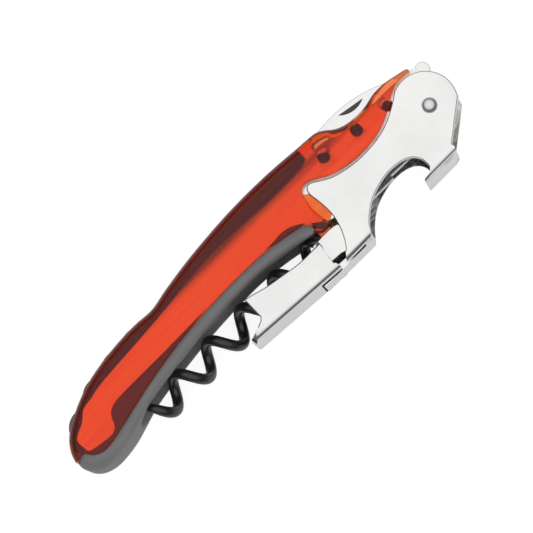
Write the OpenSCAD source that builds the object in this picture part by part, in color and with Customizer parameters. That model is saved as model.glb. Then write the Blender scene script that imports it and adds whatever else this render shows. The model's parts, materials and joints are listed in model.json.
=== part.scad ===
// Waiter's corkscrew with a double lever, a folding worm and a folding knife, closed and lying on its side.
// X runs along the handle towards the head, Y from the worm side to the spine, Z up through the thickness.
// Shapes are drawn about the head rivet at mid-thickness, then moved so that the origin is under the middle.

/* [Handle] */
// Half of the thickness across the two side scales
scale_top = 7.2; // [7.1:0.05:7.6]
// Half of the thickness across the moulded core's rails and tail cap
rail_top = 6.9; // [6.7:0.05:7.0]
// Thickness of each steel frame plate
plate_t = 0.7; // [0.6:0.05:0.7]
// Half width of the groove that the worm folds into
groove_half = 4.6; // [4.55:0.01:4.6]
// Width of the lip that each scale turns over the spine
lip_w = 2.0; // [1:0.1:3]

/* [Lever] */
// Thickness of the lever's sheet steel
lever_t = 1.2; // [1.0:0.05:1.2]
// Outer radius of the lever's lower bends
bend_r = 2.0; // [1.6:0.1:2.4]
// Half width of the rim step's tongue
tongue_half = 4.35; // [3.5:0.05:4.4]
// How far the ears of the second arm reach in from its plates
ear_t = 0.75; // [0.6:0.05:0.75]

/* [Worm] */
// Diameter of the worm's wire
wire_d = 2.6; // [2.2:0.1:2.6]
// Radius from the worm's axis to the middle of its wire
coil_r = 3.0; // [2.6:0.1:3.0]
// Length of one turn
pitch = 10.4; // [9.6:0.1:10.6]
// Rings of the sweep in one turn
rings_per_turn = 24; // [16:2:28]
// Sides of the wire in the sweep
wire_sides = 12; // [8:2:12]

/* [Pivots] */
// Radius of the head rivet
head_r = 1.7; // [1.4:0.1:1.8]
// Radius of the worm's pin
worm_pin_r = 1.2; // [1:0.1:1.4]
// Radius of the pin between the lever's two arms
arm_pin_r = 1.0; // [0.8:0.1:1.1]
// Clearance between a pin and the hole that turns on it
turn_fit = 0.05; // [0.03:0.01:0.1]
// Clearance between a pin and the hole that holds it
hold_fit = 0.02; // [0.01:0.01:0.05]

/* [Knife] */
// Thickness of the blade
blade_t = 1.2; // [1.0:0.1:1.6]
// Number of scallops ground into the cutting edge
scallops = 11; // [5:1:14]

/* [Hidden] */
$fn = 64;

// From the drawing point at the head rivet to the origin under the middle of the closed object
origin_shift = [51.95, -1.8, scale_top];

// Thickness layers, outwards from the middle
plate_in = groove_half;
plate_out = plate_in + plate_t;
floor_top = plate_out + 0.25;
lever_in = floor_top + 0.1;
lever_out = lever_in + lever_t;
ear_in = plate_in + 0.05;
ear_out = ear_in + ear_t;
hub_half = 4.4;
blade_half = blade_t / 2;
cut_past = 10;       // how far a cutting shape runs past what it cuts

// Hollows in the core
groove_roof = 1.3;
groove_end_x = -90.6; // centre of the groove's round end
groove_depth = 12;
knife_gap = 0.45;     // between the knife and each wall of its slot
spring_half = 2.1;    // half width of the back spring
spring_t = 0.9;
spring_root_x = -51.5;
spring_root_y = 4.4;  // upper face of the spring at its root

// Pivots
worm_pivot = [-24, -0.8];
arm_pivot = [-32.5, -8.0];
worm_axis_y = -4.1;

// Lever sheet, outer and inner faces of its web
web_out = -11.8;
web_in = web_out + lever_t;
lower_web_out = -11.4;  // at web_turn_x, where the second arm's web starts to rise towards its end
web_turn_x = -46;
web_rise = 4.0;      // degrees
step_gap_r = 7.0;    // radius from the arm pivot at which the second arm's plates start
tongue_end_r = 12.6; // radius from the arm pivot to the end of the tongue
web_start_r = 12.95; // radius from the arm pivot to the start of the second arm's web
slot_end = -31.6;    // head end of the two slots that let the ears swing through the web

// Curves
function spline(a, b, c, d, t) =
    0.5 * (2 * b + (c - a) * t + (2 * a - 5 * b + 4 * c - d) * t * t + (3 * b - a - 3 * c + d) * t * t * t);
function smooth(p, n = 4) = concat(
    [for (i = [0:len(p) - 2], k = [0:n - 1])
        spline(p[max(i - 1, 0)], p[i], p[i + 1], p[min(i + 2, len(p) - 1)], k / n)],
    [p[len(p) - 1]]);
function arc(c, r, a0, a1, n = 16) =
    [for (k = [0:n]) c + r * [cos(a0 + (a1 - a0) * k / n), sin(a0 + (a1 - a0) * k / n)]];
function lifted(p, dy) = [for (q = p) q + [0, dy]];
function reversed(p) = [for (i = [len(p) - 1:-1:0]) p[i]];
function inner(p) = [for (i = [1:len(p) - 2]) p[i]];

// Outline of the handle: spine from tail to head, and underside from tail to head
spine_tail = smooth([[-110.9, -1.0], [-110.3, 1.6], [-108.3, 4.5], [-105, 6.8], [-101, 8.8], [-96.5, 10.4],
    [-91, 11.5], [-85, 12.1], [-80, 12.2], [-75.2, 11.9], [-70, 12.9], [-62, 14.1], [-52, 15.0],
    [-43.5, 15.3], [-35, 15.1], [-27.5, 14.5]]);
spine_head = smooth([[-27.5, 14.5], [-24.5, 14.3], [-22, 14.0], [-20.3, 13.1], [-18.2, 11.4], [-15.3, 10.4],
    [-12, 10.15], [-9.5, 10.4], [-7, 10.9], [-4, 10.8], [-0.5, 10.1], [2.4, 9.4]]);
underside = smooth([[-110.9, -1.0], [-110.4, -3.2], [-108.5, -5.1], [-105.5, -6.0], [-102, -5.8],
    [-98, -5.0], [-94, -3.8], [-90, -2.6], [-85, -1.7], [-80, -1.05], [-75, -0.45], [-70, 0.05],
    [-64, 0.4], [-57, 0.6], [-52, 0.4], [-47, -0.2], [-42, -1.1], [-38.2, -1.9]]);

// Where a scale meets the rail, from tail to head
rail_line = smooth([[-110.85, -1.0], [-108.6, -0.4], [-107.7, -1.0], [-106.4, -2.5], [-104.3, -3.3],
    [-101.2, -3.05], [-96.9, -2.1], [-88.8, -0.2], [-79.5, 1.5], [-71.4, 2.45], [-63.3, 2.95],
    [-55, 3.05], [-48.6, 2.75], [-43, 1.9], [-39.2, 1.1]]);
rail_end = smooth([[-39.2, 1.1], [-38.0, 0.7], [-37.4, -0.2], [-37.3, -1.2], [-37.7, -1.8], [-38.2, -1.9]]);

// Where a scale clears the lever, from the head's nose back to the rail's end
lever_line = concat(
    arc([0, 0], 8.85, 74, 128, 12),
    smooth([[-8.2, 5.35], [-11.5, 4.0], [-15.4, 3.3], [-19.6, 3.25], [-23.2, 3.8], [-26.3, 4.7],
        [-28.6, 6.0], [-30.3, 7.0], [-31.8, 7.3], [-33.2, 6.7], [-33.9, 5.2], [-34.3, 2.5], [-34.2, 0],
        [-33.7, -2.9]]));

// Steel plate under the scale, round the head and back along the handle
plate_outline = concat(
    smooth([[-107.2, 0.6], [-106.6, -0.8], [-101.7, -1.6], [-100, -1.4], [-99, -0.6], [-97.8, 1.7],
        [-96.3, 2.7], [-92.9, 3.2], [-80, 3.2], [-60, 3.5], [-47, 3.3], [-43.5, 3.5], [-41, 3.1],
        [-38.3, 1.7], [-36.4, 0], [-34.8, -1.2], [-33, -2.2]], 3),
    [[-30, -2.9], [-26, -3.8], [-16.5, -3.8], [-16.5, -3.0], [-5, -3.4]],
    arc([0, 0], 5.5, 230, 360, 20),
    smooth([[5.6, 2.5], [5.2, 5.4], [3.9, 8.0], [2.6, 9.0], [-0.5, 9.1], [-3.5, 9.3], [-17.5, 9.4],
        [-20, 10.4], [-22.5, 11.3], [-27.3, 11.3], [-30, 10.4], [-39.7, 10.2], [-47.9, 10.7],
        [-60.6, 10.9], [-76, 9.4], [-93.5, 8.2], [-98.1, 7.4], [-101.4, 6.7], [-103.5, 5.0],
        [-107, 3.0], [-107.2, 0.6]], 3));

// Lever's first arm, seen from the side
head_disc = arc([-0.4, 1.0], 7.4, -28, 112, 36);
arm_top = smooth([[-3.3, 7.8], [-5.5, 6.3], [-8.2, 4.8], [-11.5, 3.5], [-15.4, 2.85], [-19.6, 2.8],
    [-23.2, 3.3], [-26.4, 4.2], [-28.7, 5.5], [-30.3, 6.5], [-31.4, 6.75], [-32.3, 6.1], [-32.6, 4.8],
    [-32.25, 2], [-32.2, -1.65], [-33, -5], [-34.5, -8.1], [-36.4, -10.5], [-37.6, web_out]]);
arch = smooth([[-29.9, web_out], [-28.4, -9.9], [-26.6, -8.0], [-24.2, -6.2], [-21.6, -5.0],
    [-17.5, -4.05], [-13.8, -4.2], [-11.2, -5.2], [-9.8, -7.0], [-9.6, -9.2], [-10.2, -10.4], [-11.6, -10.7],
    [-12.5, -11.0], [-12.6, web_out]]);
arm_nose = [[-4.6, web_out], [-3.0, -11.2], [-2.6, -10.4], [-2.6, -9.6], [6.0, -2.9]];

// Lever's second arm
lower_plate = concat(
    smooth([[-38.9, -4.3], [-44.6, -4.3], [-49.2, -3.6], [-53.5, -2.85], [-57, -1.9], [-59.2, -1.4]]),
    [[-59.3, -6.7]],
    smooth([[-59.9, -7.3], [-62.1, -8.2], [-64.6, -8.9]]),
    [[-64.6, -13], [-38.9, -13]]);
ear_outline = concat(
    arc(arm_pivot, 2.3, -95, 75, 16),
    smooth([[-33.0, -4.0], [-35, -3.7], [-40, -3.7]]),
    [[-40, -8.8], [-36.8, -9.0]]);

// Knife, folded, with its tang round the rivet and its heel standing at the head
knife_outline = concat(
    smooth([[-38.5, 12.3], [-36, 10.2], [-31, 8.4], [-24, 7.3], [-14, 6.3], [-7.5, 5.4], [-4.8, 3.6]]),
    arc([0, 0], 3.5, 160, 368, 24),
    smooth([[4.0, 2.6], [4.6, 5.0], [5.2, 6.2]]),
    arc([5.0, 8.0], 1.75, -75, 165, 20),
    smooth([[2.6, 8.9], [0.4, 10.1], [-1.9, 11.4], [-6, 13.1], [-9.9, 14.3], [-13.5, 14.85], [-17.5, 15.05],
        [-22.3, 14.7], [-28, 14.0], [-33, 13.4], [-37.8, 12.9]]));

// Ribs on the spine for the thumb
rib_places = [-103.5, -96.5, -89.5, -82.8];
rib_r = 4.5;
rib_rise = 0.45;

seam = 0.03;      // gap between a scale and the core
lip_drop = 1.45;  // how far a scale's lip reaches down from the spine's crest
pin_spots = [[-24.45, 8.7], [-15.15, 7.7], [-6.5, 6.9]];
pin_r = 1.35;
// Height of each pin's end above its plate; the last one stays below the lever
pin_rise = [1.05, 1.05, 0.2];

// Builds a part on the left side, or its mirror image on the right
module side(left) {
    if (left) children();
    else mirror([0, 0, 1]) children();
}
module placed() {
    translate(origin_shift) children();
}
// A slab with the given outline between two heights
module slab(outline, z0, z1) {
    translate([0, 0, z0]) linear_extrude(height = z1 - z0) polygon(outline);
}
module pair(outline, z0, z1) {
    slab(outline, z0, z1);
    mirror([0, 0, 1]) slab(outline, z0, z1);
}
module rod(at, r, z0, z1) {
    translate([at[0], at[1], z0]) cylinder(r = r, h = z1 - z0);
}

scale_outline = concat(
    lifted(rail_line, seam), [for (q = inner(rail_end)) q + [seam, seam]],
    [[-37.3, -2.4], [-36.4, -3.15], [-34.2, -3.1]],
    reversed(lever_line), reversed(spine_head), reversed(inner(spine_tail)));

module grip_core() {
    core_side = concat(spine_tail, [[-27.5, 10.6], [-31, 9.4], [-36, 8.6], [-36, 1.2], [-37.2, 0]],
        [[-37.3, -1.2], [-37.7, -1.8], [-38.2, -1.9]], reversed(inner(underside)));
    rail = concat(rail_line, inner(rail_end), [[-38.2, -1.9]], reversed(inner(underside)));
    shoulder = concat(lifted(spine_tail, -lip_drop - 0.05), [[-26, 13], [-26, 18], [-112, 18], [-112, -1]]);
    color("dimgray") placed() difference() {
        union() {
            slab(core_side, -plate_out, plate_out);
            pair(rail, plate_out, rail_top);
        }
        // Groove for the worm, with a round end at the tail and open at the head
        translate([groove_end_x, groove_roof, 0]) rotate([90, 0, 0]) {
            cylinder(r = groove_half, h = groove_depth);
            translate([0, -groove_half, 0]) cube([70, 2 * groove_half, groove_depth]);
        }
        // Shoulders for the scales' lips
        pair(shoulder, plate_out - lip_w, plate_out + 0.2);
        // Pockets for the steel plates
        pair(plate_outline, plate_in, plate_out + 0.1);
        // Slot for the knife
        translate([-41.5, 6, -blade_half - knife_gap]) cube([20, 12, blade_t + 2 * knife_gap]);
        // Pocket for the back spring's root
        translate([spring_root_x - 0.5, spring_root_y - spring_t - 0.4, -spring_half - 0.1])
            cube([20, spring_t + 0.5, 2 * spring_half + 0.2]);
    }
    // Ribs for the thumb on the spine near the tail
    color("gray") placed()
        for (x = rib_places) translate([x, lookup(x, spine_tail) - rib_r + rib_rise, 0])
            cylinder(r = rib_r, h = 2 * (plate_out - lip_w), center = true);
}

module frame_plate(left) {
    color("silver") placed() side(left) difference() {
        slab(plate_outline, plate_in, plate_out);
        rod([0, 0], head_r + hold_fit, plate_in - 1, plate_out + 1);
        rod(worm_pivot, worm_pin_r + hold_fit, plate_in - 1, plate_out + 1);
        for (p = pin_spots) rod(p, pin_r + hold_fit, plate_in - 1, plate_out + 1);
    }
}

module scale_side(left) {
    lip_line = [for (q = spine_tail) if (q[0] > -107) q];
    lip = concat(lip_line, [for (q = spine_head) if (q[0] < -22.5 && q[0] > -27.4) q],
        [[-23.2, 12.7]], reversed(lifted(lip_line, -lip_drop)));
    // Thin floor beside the lever's end, between two radii from the head rivet
    floor_far_r = 34.4;
    floor_near_r = 29;
    recess_floor = concat(arc([0, 0], floor_far_r, 168, 185, 8), arc([0, 0], floor_near_r, 185, 172, 8));
    color("orangered") placed() side(left) difference() {
        union() {
            slab(scale_outline, plate_out, scale_top);
            slab(lip, plate_out - lip_w + seam, plate_out + 0.5);
            slab(recess_floor, plate_out, floor_top);
        }
        for (i = [0:2])
            rod(pin_spots[i], pin_r + hold_fit, plate_out - 1, plate_out + pin_rise[i] + turn_fit);
    }
}

module scale_pins(left) {
    color("dimgray") placed() side(left)
        for (i = [0:2]) rod(pin_spots[i], pin_r, plate_in, plate_out + pin_rise[i]);
}

// The rivet's ends are dished
module head_rivet() {
    end_z = lever_out + 0.12;
    dish_r = 2.7;
    dish_depth = 0.5;
    color("silver") placed() difference() {
        rod([0, 0], head_r, -end_z, end_z);
        for (s = [-1, 1]) translate([0, 0, s * (end_z + dish_r - dish_depth)]) sphere(r = dish_r);
    }
}

module knife_spacer(left) {
    spacer_r = 3.3;
    color("gainsboro") placed() side(left) difference() {
        rod([0, 0], spacer_r, blade_half + turn_fit, plate_in);
        rod([0, 0], head_r + hold_fit, 0, plate_in + 1);
    }
}

module worm_pin() {
    color("silver") placed() rod(worm_pivot, worm_pin_r, -plate_out, plate_out);
}

// Leaf spring rooted in the core: it passes over the worm's hub and ends at the knife's tang
module back_spring() {
    upper = smooth([[spring_root_x, spring_root_y], [-36, spring_root_y], [-30, 4.0], [-24, 3.4],
        [-16, 4.1], [-9, 4.6], [-5.6, 3.9]]);
    color("lightsteelblue") placed()
        slab(concat(upper, reversed(lifted(upper, -spring_t))), -spring_half, spring_half);
}

// A sheet steel channel along X: plates at the sides, a web below and bends of bend_r between them
module channel(x0, x1, out_y, top_y) {
    inner_r = bend_r - lever_t;
    module section(half, bottom, r) {
        union() {
            translate([x0, bottom + r, -half]) cube([x1 - x0, top_y - bottom - r, 2 * half]);
            translate([x0, bottom, -half + r]) cube([x1 - x0, r + 1, 2 * (half - r)]);
            for (s = [-1, 1]) translate([x0, bottom + r, s * (half - r)]) rotate([0, 90, 0])
                cylinder(r = r, h = x1 - x0);
        }
    }
    difference() {
        section(lever_out, out_y, bend_r);
        for (dx = [-1, 1]) translate([dx, 0, 0]) section(lever_in, out_y + lever_t, inner_r);
    }
}

module lever_upper_arm() {
    side_view = concat(head_disc, arm_top, [[-36, web_out]], arch, arm_nose);
    tongue = concat([[-34, web_out], [-34, web_in]],
        arc(arm_pivot, tongue_end_r, 192.0, 197.6, 6));
    blind_end = lever_in + 0.7; // how far the arm pin's hole runs into each plate
    slot_w = 1.3;
    slot_h = lever_t + 1.6;
    color("whitesmoke") placed() difference() {
        union() {
            intersection() {
                channel(-45, 10, web_out, 12);
                slab(side_view, -cut_past, cut_past);
            }
            slab(tongue, -tongue_half, tongue_half);
        }
        rod([0, 0], head_r + turn_fit, -cut_past, cut_past);
        rod(arm_pivot, arm_pin_r + hold_fit, -blind_end, blind_end);
        // Slots that the second arm's ears swing through
        for (s = [-1, 1]) translate([-50, web_out - 1, s * (ear_in + ear_t / 2) - slot_w / 2])
            cube([50 + slot_end, slot_h, slot_w]);
    }
}

module arm_pin() {
    pin_half = lever_in + 0.65;
    color("silver") placed() rod(arm_pivot, arm_pin_r, -pin_half, pin_half);
}

module rise(angle) {
    translate([web_turn_x, lower_web_out, 0]) rotate([0, 0, -angle])
        translate([-web_turn_x, -lower_web_out, 0]) children();
}

module lever_lower_arm() {
    end_x = -64.6;
    end_round = 3.6;
    depth = 25;
    step = [[-40.2, -3.9], [-40.2, -8.9], [-38.6, -8.9], [-38.6, -3.9]];
    lip_size = 1.1;
    lip_half = 2.9;
    color("whitesmoke") placed() difference() {
        union() {
            difference() {
                intersection() {
                    rise(web_rise) channel(-70, -30, lower_web_out, 3);
                    slab(lower_plate, -cut_past, cut_past);
                    // Rounded corners at the end, seen from below
                    translate([end_x, 5, 0]) rotate([90, 0, 0]) union() {
                        translate([end_round, -lever_out, 0]) cube([40, 2 * lever_out, depth]);
                        translate([0, end_round - lever_out, 0])
                            cube([end_round, 2 * (lever_out - end_round), depth]);
                        for (s = [-1, 1]) translate([end_round, s * (lever_out - end_round), 0])
                            cylinder(r = end_round, h = depth);
                    }
                }
                rod(arm_pivot, step_gap_r, -cut_past, cut_past);
                // The web starts beyond the tongue
                rod(arm_pivot, web_start_r, -lever_in, lever_in);
            }
            // Ears, with a step out to the plates
            pair(ear_outline, ear_in, ear_out);
            difference() {
                pair(step, ear_in, lever_out - 0.3);
                rod(arm_pivot, step_gap_r - 0.2, -cut_past, cut_past);
            }
            // Raised lip that bites under the bottle's rim
            rise(web_rise) translate([end_x + 0.1, lower_web_out + 0.8, -lip_half])
                cube([lip_size, lip_size, 2 * lip_half]);
        }
        rod(arm_pivot, arm_pin_r + turn_fit, -cut_past, cut_past);
    }
}

// The worm is one swept wire: point, turns, then a straight shank into the hub.
// t is the angle round the axis in degrees, counted from half a turn before first_x.
first_x = -87.5;
tip_t = 15;
last_t = 1800;
shank_blend = 150;   // angle over which the last turn closes in on the axis
shank_start = -35;
shank_end = -27.6;
taper_t = 150;       // angle over which the point grows to the full wire
tip_share = 0.12;    // radius of the point itself, as a share of the wire's
function coil_x(t) = first_x + (t - 180) / 360 * pitch;
coil_steps = round((last_t + shank_blend - tip_t) * rings_per_turn / 360);
function coil_radius(t) = t < last_t ? coil_r : coil_r * (1 + cos(180 * (t - last_t) / shank_blend)) / 2;
function coil_point(t) = [coil_x(t), worm_axis_y + coil_radius(t) * cos(t), coil_radius(t) * sin(t)];
function point_round(f) = tip_share + (1 - tip_share) * sqrt(1 - pow(1 - f, 2));
function wire_radius(t) = wire_d / 2 * (t - tip_t < taper_t ? point_round((t - tip_t) / taper_t) : 1);
coil_t = [for (i = [0:coil_steps]) tip_t + i * (last_t + shank_blend - tip_t) / coil_steps];
worm_path = concat([for (t = coil_t) coil_point(t)],
    [[shank_start, worm_axis_y, 0], [shank_end, worm_axis_y, 0]]);
worm_radii = concat([for (t = coil_t) wire_radius(t)], [wire_d / 2, wire_d / 2]);

module sweep(path, radii, sides) {
    last = len(path) - 1;
    side_hint = [1, 0.001, 0.35];
    function unit(v) = v / norm(v);
    function tangent(i) = unit(path[min(i + 1, last)] - path[max(i - 1, 0)]);
    // Each ring is square to the path, and turned the same way against side_hint
    function ring(i) = let (t = tangent(i), a = unit(cross(t, side_hint)), b = cross(t, a))
        [for (k = [0:sides - 1]) path[i] + radii[i] * (a * cos(360 * k / sides) + b * sin(360 * k / sides))];
    points = [for (i = [0:last]) each ring(i)];
    faces = concat(
        [[for (k = [0:sides - 1]) k]],
        [for (i = [0:last - 1], k = [0:sides - 1]) let (n = (k + 1) % sides)
            each [[i * sides + k, (i + 1) * sides + k, (i + 1) * sides + n],
                [i * sides + k, (i + 1) * sides + n, i * sides + n]]],
        [[for (k = [sides - 1:-1:0]) last * sides + k]]);
    polyhedron(points, faces);
}

module worm() {
    color([0.12, 0.12, 0.12]) placed() sweep(worm_path, worm_radii, wire_sides);
}

// The hub turns on its pin and holds the worm's shank in a blind hole
module worm_hub() {
    hub_r = 2.9;
    boss_r = 2.1;
    boss_x = -32.2;
    boss_length = 8.6;
    web = [[-26.9, worm_axis_y - 1], [-23.6, worm_axis_y - 1], [-21.3, -1.8], [-26.8, 0]];
    color("gray") placed() difference() {
        union() {
            rod(worm_pivot, hub_r, -hub_half, hub_half);
            translate([boss_x, worm_axis_y, 0]) rotate([0, 90, 0]) cylinder(r = boss_r, h = boss_length);
            slab(web, -boss_r, boss_r);
        }
        rod(worm_pivot, worm_pin_r + turn_fit, -cut_past, cut_past);
        translate([boss_x - 1, worm_axis_y, 0]) rotate([0, 90, 0])
            cylinder(r = wire_d / 2, h = shank_end + hold_fit - boss_x + 1);
    }
}

module knife_blade() {
    scallop_r = 0.62;
    scallop_step = 2.0;
    nick_middle = [-11.4, 17.9];
    nick_r = 5.6;
    nick_depth = 0.35;
    below_nick_edge = [[-15.6, 14.1], [-15.6, 9], [-8.7, 9], [-8.7, 12.9]];
    color("whitesmoke") placed() difference() {
        slab(knife_outline, -blade_half, blade_half);
        rod([0, 0], head_r + turn_fit, -cut_past, cut_past);
        // Scallops along the cutting edge
        for (i = [0:scallops - 1])
            rod([-30.5 + i * scallop_step, 7.55 - i * 0.1], scallop_r, -cut_past, cut_past);
        // Nail nick on each face: a shallow disc, cut off along a straight edge
        for (left = [true, false]) side(left) intersection() {
            rod(nick_middle, nick_r, blade_half - nick_depth, blade_half + 1);
            slab(below_nick_edge, 0, blade_t);
        }
    }
}

grip_core();
frame_plate(true);  // frame_plate_left
frame_plate(false);  // frame_plate_right
scale_side(true);  // scale_left
scale_side(false);  // scale_right
scale_pins(true);  // scale_pins_left
scale_pins(false);  // scale_pins_right
head_rivet();
knife_spacer(true);  // knife_spacer_left
knife_spacer(false);  // knife_spacer_right
worm_pin();
back_spring();
lever_upper_arm();
arm_pin();
lever_lower_arm();
worm();
worm_hub();
knife_blade();
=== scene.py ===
# Looks for a waiter's corkscrew: translucent scales over steel plates, a moulded grey core, a chromed double
# lever, a coated worm and a folding knife. Lengths are in metres in the model's own frame.
import json
import math

import bmesh
import bpy
from mathutils import Matrix, Vector
from mathutils.geometry import delaunay_2d_cdt


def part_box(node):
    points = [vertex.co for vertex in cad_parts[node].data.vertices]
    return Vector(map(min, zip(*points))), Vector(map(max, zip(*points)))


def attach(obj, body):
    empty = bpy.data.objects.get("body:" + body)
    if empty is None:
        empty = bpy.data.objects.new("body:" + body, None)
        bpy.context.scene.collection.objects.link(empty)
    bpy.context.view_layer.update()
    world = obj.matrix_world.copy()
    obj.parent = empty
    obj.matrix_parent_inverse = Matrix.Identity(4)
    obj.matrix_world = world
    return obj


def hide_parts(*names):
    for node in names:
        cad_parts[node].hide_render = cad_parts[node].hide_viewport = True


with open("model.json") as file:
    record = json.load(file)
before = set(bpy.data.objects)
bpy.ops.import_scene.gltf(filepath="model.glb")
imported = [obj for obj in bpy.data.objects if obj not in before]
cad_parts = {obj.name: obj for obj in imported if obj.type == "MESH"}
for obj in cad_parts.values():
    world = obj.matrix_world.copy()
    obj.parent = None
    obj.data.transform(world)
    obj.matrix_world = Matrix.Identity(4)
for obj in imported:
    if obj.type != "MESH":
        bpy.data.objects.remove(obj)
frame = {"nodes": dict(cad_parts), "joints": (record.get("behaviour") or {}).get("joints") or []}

bpy.context.view_layer.update()

MM = 0.001
SAME_POINT = 0.002 * MM            # CAD meshes repeat their corners on each face


# ---- Places and sizes taken from the frame ----

def pivot(joint):
    """Where a joint turns, in the row frame."""
    return Vector(next(j["pos_m"] for j in frame["joints"] if j["name"] == joint))


HEAD = pivot("knife_hinge")
MIDDLE = HEAD.z                                # height of the plane midway between the two scales
SCALE_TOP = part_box("scale_left")[1].z - MIDDLE
PLATE_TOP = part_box("frame_plate_left")[1].z - MIDDLE
AIR_GAP = 0.02 * MM                            # between a scale and the steel plate under it
SCALE_FLOOR = PLATE_TOP + AIR_GAP
LIP_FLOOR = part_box("scale_left")[0].z - MIDDLE
RAIL_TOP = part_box("grip_core")[1].z - MIDDLE
BLADE_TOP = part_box("knife_blade")[1].z - MIDDLE


def about_head(x, y, z=0.0):
    """A place given in millimetres from the head rivet at mid-thickness."""
    return HEAD + Vector((x, y, z)) * MM


# ---- Camera, floor and light ----

VIEW_TILT = math.radians(10)       # the camera looks from slightly below the worm side
VIEW_ROLL = math.radians(45)       # the object lies corner to corner in the picture
VIEW_DISTANCE = 0.8
VIEW_WIDTH = 0.1174                # what the picture spans at the target


def add_camera():
    target = about_head(-50.5, 0.3, 6.8)
    side = Vector((0, math.cos(VIEW_TILT), math.sin(VIEW_TILT)))
    towards = Vector((0, -math.sin(VIEW_TILT), math.cos(VIEW_TILT)))
    right = math.cos(VIEW_ROLL) * Vector((1, 0, 0)) - math.sin(VIEW_ROLL) * side
    up = math.sin(VIEW_ROLL) * Vector((1, 0, 0)) + math.cos(VIEW_ROLL) * side
    camera = bpy.data.objects.new("camera", bpy.data.cameras.new("camera"))
    bpy.context.scene.collection.objects.link(camera)
    camera.matrix_world = (Matrix.Translation(target + VIEW_DISTANCE * towards)
                           @ Matrix((right, up, towards)).transposed().to_4x4())
    camera.data.angle = 2 * math.atan(VIEW_WIDTH / 2 / VIEW_DISTANCE)
    camera.data.clip_start = 0.01
    bpy.context.scene.camera = camera
    bpy.context.scene.view_settings.view_transform = "Standard"


def add_world():
    """A pale dome with dark walls, which draw the black lines along the chrome's bends."""
    world = bpy.data.worlds.new("studio")
    bpy.context.scene.world = world
    world.use_nodes = True
    tree = world.node_tree
    background = tree.nodes["Background"]
    where = tree.nodes.new("ShaderNodeTexCoord")
    split = tree.nodes.new("ShaderNodeSeparateXYZ")
    ramp = tree.nodes.new("ShaderNodeValToRGB")
    height = tree.nodes.new("ShaderNodeMapRange")
    height.inputs["From Min"].default_value = -1
    height.inputs["From Max"].default_value = 1
    # Position in the ramp is half of the sine of the height above the horizon, plus a half
    stops = [(0.0, 0.80), (0.51, 0.80), (0.53, 0.09), (0.66, 0.12), (0.80, 0.20), (0.87, 0.76), (1.0, 0.95)]
    band = ramp.color_ramp
    band.interpolation = "EASE"
    while len(band.elements) < len(stops):
        band.elements.new(1.0)
    for element, (place, level) in zip(band.elements, stops):
        element.position = place
        element.color = (level, level, level, 1)
    rays = tree.nodes.new("ShaderNodeLightPath")
    seen = tree.nodes.new("ShaderNodeMix")
    seen.data_type = "RGBA"
    seen.inputs["B"].default_value = (0.9, 0.9, 0.9, 1)
    tree.links.new(where.outputs["Generated"], split.inputs[0])
    tree.links.new(split.outputs["Z"], height.inputs["Value"])
    tree.links.new(height.outputs[0], ramp.inputs["Fac"])
    tree.links.new(rays.outputs["Is Camera Ray"], seen.inputs["Factor"])
    tree.links.new(ramp.outputs["Color"], seen.inputs["A"])
    tree.links.new(seen.outputs["Result"], background.inputs["Color"])


def add_floor():
    """A flat white sheet that glows a little, as a light table does."""
    mesh = bpy.data.meshes.new("floor")
    half = 3.0
    corners = [(-half, -half, 0), (half, -half, 0), (half, half, 0), (-half, half, 0)]
    mesh.from_pydata(corners, [], [(0, 1, 2, 3)])
    floor = bpy.data.objects.new("floor", mesh)
    bpy.context.scene.collection.objects.link(floor)
    floor.location.z = -0.02 * MM
    paper = bpy.data.materials.new("paper")
    paper.use_nodes = True
    tree = paper.node_tree
    sheet = tree.nodes["Principled BSDF"]
    sheet.inputs["Base Color"].default_value = (0.45, 0.45, 0.45, 1)
    sheet.inputs["Roughness"].default_value = 0.9
    sheet.inputs["Emission Color"].default_value = (1, 1, 1, 1)
    rays = tree.nodes.new("ShaderNodeLightPath")
    glow = tree.nodes.new("ShaderNodeMapRange")
    glow.inputs["To Min"].default_value = 0.42
    glow.inputs["To Max"].default_value = 0.85
    tree.links.new(rays.outputs["Is Camera Ray"], glow.inputs["Value"])
    tree.links.new(glow.outputs[0], sheet.inputs["Emission Strength"])
    mesh.materials.append(paper)


# ---- Procedural materials ----

def new_material(name, **values):
    """A material with one Principled shader, and plain values for its sockets."""
    made = bpy.data.materials.new(name)
    made.use_nodes = True
    shader = made.node_tree.nodes["Principled BSDF"]
    for socket, value in values.items():
        shader.inputs[socket.replace("_", " ")].default_value = value
    return made, made.node_tree, shader


def noise(tree, scale, detail=3.0, stretch=(1, 1, 1), roughness=0.5):
    """Noise over the object's own coordinates; scale is in features per metre."""
    where = tree.nodes.new("ShaderNodeTexCoord")
    mapping = tree.nodes.new("ShaderNodeMapping")
    mapping.inputs["Scale"].default_value = stretch
    pattern = tree.nodes.new("ShaderNodeTexNoise")
    pattern.inputs["Scale"].default_value = scale
    pattern.inputs["Detail"].default_value = detail
    pattern.inputs["Roughness"].default_value = roughness
    tree.links.new(where.outputs["Object"], mapping.inputs["Vector"])
    tree.links.new(mapping.outputs[0], pattern.inputs["Vector"])
    return pattern.outputs["Fac"]


def ranged(tree, source, low, high, start=0.35, end=0.65):
    """source mapped from start..end to low..high."""
    node = tree.nodes.new("ShaderNodeMapRange")
    node.inputs["From Min"].default_value = start
    node.inputs["From Max"].default_value = end
    node.inputs["To Min"].default_value = low
    node.inputs["To Max"].default_value = high
    tree.links.new(source, node.inputs["Value"])
    return node.outputs[0]


def coloured(tree, source, stops):
    """A colour ramp over source; stops are (position, colour)."""
    ramp = tree.nodes.new("ShaderNodeValToRGB")
    elements = ramp.color_ramp.elements
    while len(elements) < len(stops):
        elements.new(0.5)
    for element, (place, colour) in zip(elements, stops):
        element.position = place
        element.color = (*colour, 1)
    tree.links.new(source, ramp.inputs["Fac"])
    return ramp.outputs["Color"]


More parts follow.
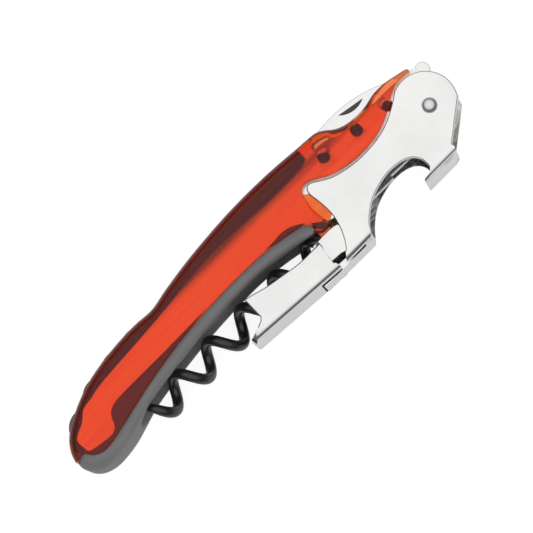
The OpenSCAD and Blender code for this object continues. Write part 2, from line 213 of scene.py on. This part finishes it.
def bumped(tree, shader, height, distance, strength=1.0, below=None):
    """Adds a bump of that height in metres to the shader, on top of another bump's normal."""
    node = tree.nodes.new("ShaderNodeBump")
    node.inputs["Distance"].default_value = distance
    node.inputs["Strength"].default_value = strength
    tree.links.new(height, node.inputs["Height"])
    if below is not None:
        tree.links.new(below, node.inputs["Normal"])
    tree.links.new(node.outputs[0], shader.inputs["Normal"])
    return node.outputs[0]


def level_faces_below(tree, height):
    """1 on faces that look up or down from less than height above or below mid-thickness, else 0."""
    where = tree.nodes.new("ShaderNodeTexCoord")
    place = tree.nodes.new("ShaderNodeSeparateXYZ")
    facing = tree.nodes.new("ShaderNodeSeparateXYZ")
    tree.links.new(where.outputs["Object"], place.inputs[0])
    tree.links.new(where.outputs["Normal"], facing.inputs[0])

    def math_node(operation, first, second=0.0):
        node = tree.nodes.new("ShaderNodeMath")
        node.operation = operation
        for socket, value in zip(node.inputs, (first, second)):
            if isinstance(value, float):
                socket.default_value = value
            else:
                tree.links.new(value, socket)
        return node.outputs[0]

    off_middle = math_node("ABSOLUTE", math_node("SUBTRACT", place.outputs["Z"], float(MIDDLE)))
    low = math_node("LESS_THAN", off_middle, float(height))
    level = math_node("GREATER_THAN", math_node("ABSOLUTE", facing.outputs["Z"]), 0.8)
    return math_node("MULTIPLY", low, level)


def mixed(tree, share, first, second):
    """first where share is 0 and second where it is 1; each is a colour or a socket."""
    node = tree.nodes.new("ShaderNodeMix")
    node.data_type = "RGBA"
    tree.links.new(share, node.inputs["Factor"])
    for socket, value in (("A", first), ("B", second)):
        inlet = next(i for i in node.inputs if i.name == socket and i.type == "RGBA")
        if isinstance(value, tuple):
            inlet.default_value = (*value, 1)
        else:
            tree.links.new(value, inlet)
    return next(o for o in node.outputs if o.type == "RGBA")


def pocket_floor_painted_shade(tree):
    """1 on the core's level floors under the scales, which get a painted shade."""
    return level_faces_below(tree, PLATE_TOP + 0.3 * MM)


def nail_nick_painted_shade(tree):
    """1 on the floors of the knife's two nicks, which get a painted shade."""
    return level_faces_below(tree, BLADE_TOP - 0.03 * MM)


def spine_edge_painted_shade(tree):
    """Painted shade along a frame plate's spine edge: 0 over most of the plate and up to 1 along that edge,
    broken into long streaks.
    """
    where = tree.nodes.new("ShaderNodeTexCoord")
    place = tree.nodes.new("ShaderNodeSeparateXYZ")
    tree.links.new(where.outputs["Object"], place.inputs[0])
    near = ranged(tree, place.outputs["Y"], 0, 1, start=HEAD.y + 8.2 * MM, end=HEAD.y + 10.7 * MM)
    streaks = ranged(tree, noise(tree, 60, 3, stretch=(0.25, 7, 1)), 0.35, 1.5)
    both = tree.nodes.new("ShaderNodeMath")
    both.operation = "MULTIPLY"
    both.use_clamp = True
    tree.links.new(near, both.inputs[0])
    tree.links.new(streaks, both.inputs[1])
    return both.outputs[0]


def with_painted_shade(tree, colour, painted_shade):
    """A colour, covered by a painted shade colour where a mask says so; the last argument is (mask function,
    colour) or None.
    """
    return mixed(tree, painted_shade[0](tree), colour, painted_shade[1]) if painted_shade else colour


def translucent_red():
    """Clear red-orange plastic: the steel under it shows orange and the dark core shows maroon."""
    made, tree, shader = new_material("scale_plastic", Roughness=0.06, IOR=1.40, Transmission_Weight=0.985)
    shader.inputs["Specular Tint"].default_value = (0.95, 0.78, 1.0, 1)
    streaks = noise(tree, 55, 3, stretch=(0.5, 7, 2))
    colour = coloured(tree, streaks, [(0.38, (1.0, 0.43, 0.15)), (0.62, (1.0, 0.48, 0.18))])
    tree.links.new(colour, shader.inputs["Base Color"])
    waves = bumped(tree, shader, noise(tree, 260, 2), 0.02 * MM, 0.5)
    scratches = noise(tree, 900, 2, stretch=(0.15, 3, 3))
    bumped(tree, shader, scratches, 0.004 * MM, 0.4, below=waves)
    dye = tree.nodes.new("ShaderNodeVolumeAbsorption")
    dye.inputs["Color"].default_value = (1.0, 0.30, 0.06, 1)
    dye.inputs["Density"].default_value = 420
    tree.links.new(dye.outputs[0], tree.nodes["Material Output"].inputs["Volume"])
    return made


def moulded(name, dark, light, roughness, grain=0.012 * MM, painted_shade=None):
    """Moulded plastic with a fine spark-eroded grain, and a painted shade where one is given."""
    made, tree, shader = new_material(name)
    shader.inputs["Specular IOR Level"].default_value = 0.35
    colour = coloured(tree, noise(tree, 120, 4), [(0.35, dark), (0.65, light)])
    tree.links.new(with_painted_shade(tree, colour, painted_shade), shader.inputs["Base Color"])
    fine = noise(tree, 4200, 3)
    tree.links.new(ranged(tree, fine, roughness - 0.06, roughness + 0.08), shader.inputs["Roughness"])
    bumped(tree, shader, fine, grain)
    return made


def polished(name, colour, low, high, ripple=0.004 * MM):
    """Plated steel: nearly a mirror, with faint waves in the surface and hazier patches from handling."""
    made, tree, shader = new_material(name, Metallic=1.0)
    patches = noise(tree, 90, 5, roughness=0.6)
    dull = tuple(0.94 * c for c in colour)
    tree.links.new(coloured(tree, patches, [(0.38, dull), (0.6, colour)]), shader.inputs["Base Color"])
    smudges = noise(tree, 210, 6, roughness=0.7)
    tree.links.new(ranged(tree, smudges, low, high), shader.inputs["Roughness"])
    waves = bumped(tree, shader, noise(tree, 170, 1), 4 * ripple, 0.5)
    hairlines = noise(tree, 1500, 2, stretch=(0.2, 3, 3))
    bumped(tree, shader, hairlines, ripple, 0.25, below=waves)
    return made


def brushed(name, colour, roughness, stretch=(0.05, 3, 1), contrast=0.2, depth=0.004 * MM, painted_shade=None):
    """Rolled or ground steel, with its lines along the axis that stretch scales least, and a painted shade
    where one is given.
    """
    made, tree, shader = new_material(name, Metallic=1.0, Anisotropic=0.4)
    lines = noise(tree, 900, 4, stretch=stretch)
    dull = tuple((1 - contrast) * c for c in colour)
    tint = coloured(tree, lines, [(0.36, dull), (0.64, colour)])
    tree.links.new(with_painted_shade(tree, tint, painted_shade), shader.inputs["Base Color"])
    spread = 0.325 * contrast
    haze = ranged(tree, lines, roughness - spread, roughness + spread)
    tree.links.new(haze, shader.inputs["Roughness"])
    bumped(tree, shader, lines, depth, 0.6)
    return made


def coated_black():
    """Non-stick coating on the worm: black, satin, with a faint pebble."""
    made, tree, shader = new_material("worm_coating", Coat_Weight=0.6, Coat_Roughness=0.16)
    cloud = noise(tree, 300, 4)
    dark = coloured(tree, cloud, [(0.35, (0.009, 0.009, 0.010)), (0.65, (0.016, 0.016, 0.017))])
    tree.links.new(dark, shader.inputs["Base Color"])
    pebble = noise(tree, 2600, 2)
    tree.links.new(ranged(tree, pebble, 0.26, 0.40), shader.inputs["Roughness"])
    bumped(tree, shader, pebble, 0.006 * MM, 0.7)
    return made


MATERIALS = {
    "scale_plastic": translucent_red(),
    # Painted shade: the core's level floors under the scales are darkened to near black.
    "core_plastic": moulded("core_plastic", (0.27, 0.27, 0.272), (0.31, 0.31, 0.312), 0.55,
                            painted_shade=(pocket_floor_painted_shade, (0.085, 0.085, 0.095))),
    "pin_plastic": moulded("pin_plastic", (0.05, 0.02, 0.02), (0.07, 0.03, 0.03), 0.5),
    "spacer_plastic": moulded("spacer_plastic", (0.45, 0.45, 0.45), (0.5, 0.5, 0.5), 0.5),
    # Painted shade: the frame plates are darkened in long streaks along their spine edge.
    "frame_steel": brushed("frame_steel", (1.0, 0.99, 0.97), 0.20, stretch=(0.02, 0.6, 1), contrast=0.12,
                           depth=0.002 * MM, painted_shade=(spine_edge_painted_shade, (0.16, 0.15, 0.16))),
    "spring_steel": brushed("spring_steel", (0.55, 0.55, 0.57), 0.30),
    "hub_steel": brushed("hub_steel", (0.42, 0.42, 0.43), 0.38, stretch=(1, 1, 0.1)),
    # Painted shade: the floors of the knife's nicks are darkened to near black.
    "blade_steel": brushed("blade_steel", (0.95, 0.95, 0.94), 0.16, stretch=(3, 0.1, 1), contrast=0.06,
                           depth=0.001 * MM, painted_shade=(nail_nick_painted_shade, (0.07, 0.07, 0.072))),
    "lever_chrome": polished("lever_chrome", (0.93, 0.93, 0.92), 0.05, 0.11),
    "rivet_steel": polished("rivet_steel", (0.80, 0.80, 0.80), 0.06, 0.16),
    "worm_coating": coated_black(),
}

NODE_FINISH = {
    "frame_plate_left": "frame_steel", "frame_plate_right": "frame_steel",
    "scale_pins_left": "pin_plastic", "scale_pins_right": "pin_plastic",
    "head_rivet": "rivet_steel", "worm_pin": "rivet_steel", "arm_pin": "rivet_steel",
    "knife_spacer_left": "spacer_plastic", "knife_spacer_right": "spacer_plastic",
    "back_spring": "spring_steel", "worm": "worm_coating",
}
EDGE_ROUND = {"head_rivet": 0.12 * MM, "back_spring": 0.1 * MM}


def dress_cad_nodes():
    """Gives each carried-over CAD node its material, smooths the worm and rounds what EDGE_ROUND lists."""
    for name, finish in NODE_FINISH.items():
        node = frame["nodes"][name]
        node.data.materials.clear()
        node.data.materials.append(MATERIALS[finish])
        weld = node.modifiers.new("weld", "WELD")
        weld.merge_threshold = SAME_POINT
        if name == "worm":
            smooth = node.modifiers.new("smooth", "SUBSURF")
            smooth.levels = smooth.render_levels = 2
            continue
        if name not in EDGE_ROUND:
            continue
        bevel = node.modifiers.new("bevel", "BEVEL")
        bevel.width = EDGE_ROUND[name]
        bevel.segments = 3
        bevel.limit_method = "ANGLE"
        bevel.angle_limit = math.radians(35)
        bevel.harden_normals = True


# ---- Outlines and lofts ----

def level_outline(node, z):
    """The outline of a CAD node's flat faces at a height, as points in order, anticlockwise."""
    mesh = frame["nodes"][node].data
    places = {}
    steps = set()
    for face in mesh.polygons:
        if abs(face.normal.z) < 0.99 or abs(face.center.z - z) > 0.01 * MM:
            continue
        corners = []
        for index in face.vertices:
            place = mesh.vertices[index].co
            corners.append((round(place.x * 1e6), round(place.y * 1e6)))
            places[corners[-1]] = place.xy.copy()
        steps.update(zip(corners, corners[1:] + corners[:1]))
    borders = {a: b for a, b in steps if (b, a) not in steps}
    loops = []
    while borders:
        start, here = borders.popitem()
        loop = [start]
        while here != start:
            loop.append(here)
            here = borders.pop(here)
        loops.append([places[name] for name in loop])
    longest = max(loops, key=outline_length)
    return longest if signed_area(longest) > 0 else longest[::-1]


def outline_length(points):
    return sum((b - a).length for a, b in zip(points, points[1:] + points[:1]))


def signed_area(points):
    return sum(a.x * b.y - b.x * a.y for a, b in zip(points, points[1:] + points[:1])) / 2


def resampled(points, step):
    """The closed outline again, with points an equal step apart."""
    count = round(outline_length(points) / step)
    gap = outline_length(points) / count
    made = []
    travelled = 0.0
    for a, b in zip(points, points[1:] + points[:1]):
        length = (b - a).length
        while len(made) * gap < travelled + length and len(made) < count:
            made.append(a.lerp(b, (len(made) * gap - travelled) / length))
        travelled += length
    return made


def relaxed(values, rounds, share=0.5):
    """Closed list of numbers or vectors, each drawn towards the mean of its neighbours."""
    for _ in range(rounds):
        last = len(values) - 1
        values = [v * (1 - share) + (values[i - 1] + values[i + 1 if i < last else 0]) * (share / 2)
                  for i, v in enumerate(values)]
    return values


def inward_normals(points):
    """Unit normals that point into an anticlockwise outline."""
    last = len(points) - 1
    tangents = [points[i + 1 if i < last else 0] - points[i - 1] for i in range(len(points))]
    return [Vector((-t.y, t.x)).normalized() for t in tangents]


def inside_width(points, normals, reach):
    """For each point, how far it is along its inward normal to the other side, or reach."""
    widths = []
    edges = list(zip(points, points[1:] + points[:1]))
    for i, (p, n) in enumerate(zip(points, normals)):
        best = reach
        for a, b in edges:
            e = b - a
            across = n.x * e.y - n.y * e.x
            if abs(across) < 1e-12:
                continue
            w = a - p
            far = (w.x * e.y - w.y * e.x) / across
            along = (w.x * n.y - w.y * n.x) / across
            if 1e-5 < far < best and 0 <= along <= 1:
                best = far
        widths.append(best)
    return widths


def narrowest_near(values, span):
    """Each value of a closed list replaced by the least within span places of it."""
    count = len(values)
    return [min(values[(i + k) % count] for k in range(-span, span + 1)) for i in range(count)]


def cap(mesh, row):
    """Closes a level ring with triangles that follow its outline."""
    sides = [(i, (i + 1) % len(row)) for i in range(len(row))]
    inside_only = 1
    places, _, faces, sources, _, _ = delaunay_2d_cdt([v.co.xy for v in row], sides, [], inside_only, 1e-9)
    verts = [row[s[0]] if s else mesh.verts.new((*p, row[0].co.z)) for p, s in zip(places, sources)]
    for face in faces:
        mesh.faces.new([verts[k] for k in face])


def lofted(name, rings, body, slot, *replaced):
    """A closed piece whose rings are joined in order and whose first and last rings are capped."""
    mesh = bmesh.new()
    rows = [[mesh.verts.new(p) for p in ring] for ring in rings]
    for lower, upper in zip(rows, rows[1:]):
        for i in range(len(lower)):
            j = (i + 1) % len(lower)
            mesh.faces.new((lower[i], lower[j], upper[j], upper[i]))
    for row in (rows[0], rows[-1]):
        cap(mesh, row)
    bmesh.ops.remove_doubles(mesh, verts=mesh.verts, dist=0.004 * MM)
    bmesh.ops.dissolve_degenerate(mesh, edges=mesh.edges, dist=0.001 * MM)
    bmesh.ops.recalc_face_normals(mesh, faces=mesh.faces)
    return finished(name, mesh, body, slot, *replaced)


def finished(name, mesh, body, slot, *replaced):
    """Turns a bmesh into a piece with its material, its body and the CAD nodes that it stands for."""
    data = bpy.data.meshes.new(name)
    mesh.to_mesh(data)
    mesh.free()
    data.shade_smooth()
    data.set_sharp_from_angle(angle=math.radians(40))
    piece = bpy.data.objects.new(name, data)
    bpy.context.scene.collection.objects.link(piece)
    if slot:
        data.materials.append(MATERIALS[slot])
    if body:
        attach(piece, body)
    if replaced:
        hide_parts(*replaced)
    return piece


# ---- Steel pieces with rounded rims ----

SHORTEST_RIM = 0.1 * MM            # edges shorter than this stay sharp
BORE_REACH = 2.0 * MM              # edges nearer to the head rivet than this stay sharp
LOWEST_WALL = 0.9 * MM             # edges of lower walls, such as the nail nick's, stay sharp
RIM_STEPS = 4
RIMMED = (
    # piece, CAD node, body, slot, width of the rounding
    ("lever_sheet_upper", "lever_upper_arm", "lever", "lever_chrome", 0.38 * MM),
    ("lever_sheet_lower", "lever_lower_arm", "lower_arm", "lever_chrome", 0.38 * MM),
    ("knife_ground", "knife_blade", "knife", "blade_steel", 0.18 * MM),
    ("worm_hub_turned", "worm_hub", "worm_body", "hub_steel", 0.3 * MM),
)


def is_rim(edge, half):
    """Whether an edge joins one of the two outermost level faces to an upright wall."""
    if len(edge.link_faces) != 2 or edge.calc_length() < SHORTEST_RIM:
        return False
    if (edge.verts[0].co - HEAD).xy.length < BORE_REACH:
        return False
    first, second = sorted(edge.link_faces, key=lambda face: -abs(face.normal.z))
    outermost = abs(abs(edge.verts[0].co.z - MIDDLE) - half) < 0.01 * MM
    heights = [v.co.z for v in second.verts]
    tall = max(heights) - min(heights) > LOWEST_WALL
    return outermost and tall and abs(first.normal.z) > 0.999 and abs(second.normal.z) < 0.05


def rimmed_piece(name, node, body, slot, width):
    """A CAD node again, with the rims of its two outer faces rounded."""
    mesh = bmesh.new()
    mesh.from_mesh(frame["nodes"][node].data)
    bmesh.ops.remove_doubles(mesh, verts=mesh.verts, dist=0.004 * MM)
    bmesh.ops.dissolve_limit(mesh, angle_limit=math.radians(0.5), verts=mesh.verts, edges=mesh.edges)
    mesh.normal_update()
    half = max(abs(v.co.z - MIDDLE) for v in mesh.verts)
    rims = [e for e in mesh.edges if is_rim(e, half)]
    bmesh.ops.bevel(mesh, geom=rims, offset=width, offset_type="OFFSET", segments=RIM_STEPS, profile=0.5,
                    affect="EDGES", clamp_overlap=False, loop_slide=False)
    piece = finished(name, mesh, body, slot, node)
    flat = piece.modifiers.new("normals", "WEIGHTED_NORMAL")
    flat.keep_sharp = True
    return piece


# ---- Scales ----

OUTLINE_STEP = 0.35 * MM           # gap between the points of a scale's outline
SPINE_ROUND = 2.5 * MM             # how far in a scale's rounded spine edge reaches
EDGE_BREAK = 0.30 * MM             # rounding of a scale's other edges
LIP_DEPTH = 1.45 * MM              # thickness of the lip that a scale turns over the spine
EDGE_DEPTH = 0.25 * MM             # how far in the bottom's rim lies where there is no lip
LIP_CORNER = 0.2 * MM              # chamfer of the lip's outer corner
SHELF_REACH = 4.6 * MM             # length of the thin floor beside the lever
SHELF_RISE = 0.25 * MM             # and its thickness
ROUND_SHARE = 0.36                 # the most of the scale's local width that the spine's rounding takes
DEPTH_SHARE = 0.3                  # and the most that the lip takes
WALL_POINTS = 7                    # points of a section below its rounding
ROUND_STEPS = 8                    # flats in each rounding of the scales and the core


def blend_values(low, high, share):
    return low + (high - low) * share


def ramp_up(value, start, end):
    """0 before start, 1 after end, smooth between."""
    t = min(max((value - start) / (end - start), 0.0), 1.0)
    return t * t * (3 - 2 * t)


def scale_shell(name, sign, replaced):
    """A scale with a crowned spine edge, a lip over the spine and a thin floor beside the lever."""
    outline = resampled(level_outline(replaced, MIDDLE + sign * SCALE_TOP), OUTLINE_STEP)
    outline = relaxed(outline, 3)
    inward = inward_normals(outline)
    inward = [n.normalized() for n in relaxed(inward, 4)]
    widths = relaxed(narrowest_near(inside_width(outline, inward, 8 * MM), 5), 6)
    # Shares from 0 to 1 along the outline; x and y are millimetres from the head rivet
    spine, lip, shelf = [], [], []
    for p, n in zip(outline, inward):
        x, y = (p - HEAD.xy) / MM
        spine.append(ramp_up(-n.y, -0.25, 0.25) if y > -1.5 and x < 3.5 else 0.0)
        lip.append(1.0 if -n.y > -0.1 and y > 4.0 and x < -23.5 else 0.0)
        beside_lever = -37 < x < -32.5 and -3.0 < y < 6.4 and n.x < -0.3
        share = ramp_up(y, -3.0, 0.5) * (1 - ramp_up(y, 3.5, 6.4))
        shelf.append(share if beside_lever and share > 0.03 else 0.0)
    spine = relaxed(spine, 12)
    lip = relaxed(lip, 2)
    reach = [min(blend_values(EDGE_BREAK, SPINE_ROUND, s), ROUND_SHARE * w) for s, w in zip(spine, widths)]
    reach = relaxed(reach, 8)
    rings = [[] for _ in range(WALL_POINTS + ROUND_STEPS + 1)]
    for p, n, bottom, ledge, r, width in zip(outline, inward, lip, shelf, reach, widths):
        depth = min(blend_values(EDGE_DEPTH, LIP_DEPTH, bottom), DEPTH_SHARE * width)
        low = SCALE_FLOOR - bottom * (SCALE_FLOOR - LIP_FLOOR)
        corner = LIP_CORNER * bottom
        out = Vector((SHELF_REACH * ledge, 0))
        ledge_top = max(SCALE_FLOOR + SHELF_RISE * min(1, 4 * ledge), low + corner)
        section = [(p + n * depth, SCALE_FLOOR), (p + n * depth, low), (p + n * corner, low),
                   (p, low + corner), (p + out, low + corner), (p + out, ledge_top), (p, ledge_top)]
        for k in range(ROUND_STEPS + 1):
            angle = math.pi / 2 * k / ROUND_STEPS
            section.append((p + n * r * (1 - math.cos(angle)), SCALE_TOP - r * (1 - math.sin(angle))))
        for ring, (place, z) in zip(rings, section):
            ring.append((place.x, place.y, MIDDLE + sign * z))
    return lofted(name, rings, "root", "scale_plastic", replaced)


def cut_by(piece, tool, operation):
    """Applies a boolean with a tool, then removes the tool."""
    cut = piece.modifiers.new("cut", "BOOLEAN")
    cut.operation = operation
    cut.solver = "EXACT"
    cut.object = tool
    applied = bpy.data.meshes.new_from_object(piece.evaluated_get(bpy.context.evaluated_depsgraph_get()))
    piece.modifiers.clear()
    piece.data = applied
    bpy.data.objects.remove(tool)


PIN_CLEARANCE = 0.03 * MM          # how far a hole's corners lie outside its pin's


def drill_pins(scale, pins):
    """Blind holes in a scale for its three pins, a little wider and deeper than they are."""
    mesh = bmesh.new()
    mesh.from_mesh(frame["nodes"][pins].data)
    bmesh.ops.remove_doubles(mesh, verts=mesh.verts, dist=SAME_POINT)
    bmesh.ops.recalc_face_normals(mesh, faces=mesh.faces)
    for v in mesh.verts:
        v.co += PIN_CLEARANCE * v.normal
    cut_by(scale, finished("pin_holes", mesh, None, None), "DIFFERENCE")


# ---- Core ----

RAIL_ROUND = 1.3 * MM              # rounding of the rails' lower edges
TAIL_ROUND = 2.9 * MM              # and of the tail cap
ENVELOPE_SLACK = 0.001 * MM        # how far the envelope stands above the rails' faces
RAIL_STEP = 0.3 * MM               # gap between the points of the rails' outline


def core_piece():
    """The CAD core with its rails' lower edges and its tail cap rounded off."""
    rail = relaxed(resampled(level_outline("grip_core", MIDDLE + RAIL_TOP), RAIL_STEP), 3)
    inward = [n.normalized() for n in relaxed(inward_normals(rail), 4)]
    # From the tail's tip along the lower edge, to the end that faces the lever
    tail = min(range(len(rail)), key=lambda i: rail[i].x)
    rail = rail[tail:] + rail[:tail]
    inward = inward[tail:] + inward[:tail]
    count = next(i for i in range(len(rail)) if inward[i].x < -0.75 and rail[i].x > HEAD.x - 40 * MM)
    chain = rail[:count]
    reach = []
    for p in chain:
        x = (p.x - HEAD.x) / MM
        at_tail = 1 - ramp_up(x, -108, -98)
        at_lever = ramp_up(x, -42, -38.5)
        reach.append(blend_values(RAIL_ROUND, TAIL_ROUND, at_tail) * (1 - 0.6 * at_lever))
    # The envelope goes well past the core's spine side, so that side isn't cut
    far = 25 * MM
    corners = [Vector((HEAD.x - 15 * MM, chain[-1].y)), Vector((HEAD.x - 15 * MM, HEAD.y + far)),
               Vector((chain[0].x - 0.01 * MM, HEAD.y + far))]
    top = RAIL_TOP + ENVELOPE_SLACK
    rings = []
    angles = [math.pi / 2 * k / ROUND_STEPS for k in range(ROUND_STEPS + 1)]
    for sign in (-1, 1):
        for angle in (angles[::-1] if sign < 0 else angles):
            ring = [(*(p + n * r * (1 - math.cos(angle))), MIDDLE + sign * (top - r * (1 - math.sin(angle))))
                    for p, n, r in zip(chain, inward, reach)]
            ring += [(*c, MIDDLE + sign * top) for c in corners]
            rings.append(ring)
    envelope = lofted("core_envelope", rings, None, None)
    mesh = bmesh.new()
    mesh.from_mesh(frame["nodes"]["grip_core"].data)
    bmesh.ops.remove_doubles(mesh, verts=mesh.verts, dist=SAME_POINT)
    core = finished("core_moulding", mesh, "root", "core_plastic", "grip_core")
    cut_by(core, envelope, "INTERSECT")
    core.data.set_sharp_from_angle(angle=math.radians(40))
    return core


add_camera()
add_world()
add_floor()
dress_cad_nodes()
for row in RIMMED:
    rimmed_piece(*row)
for side, sign in (("left", 1), ("right", -1)):
    scale = scale_shell("scale_shell_" + side, sign, "scale_" + side)
    drill_pins(scale, "scale_pins_" + side)
core_piece()
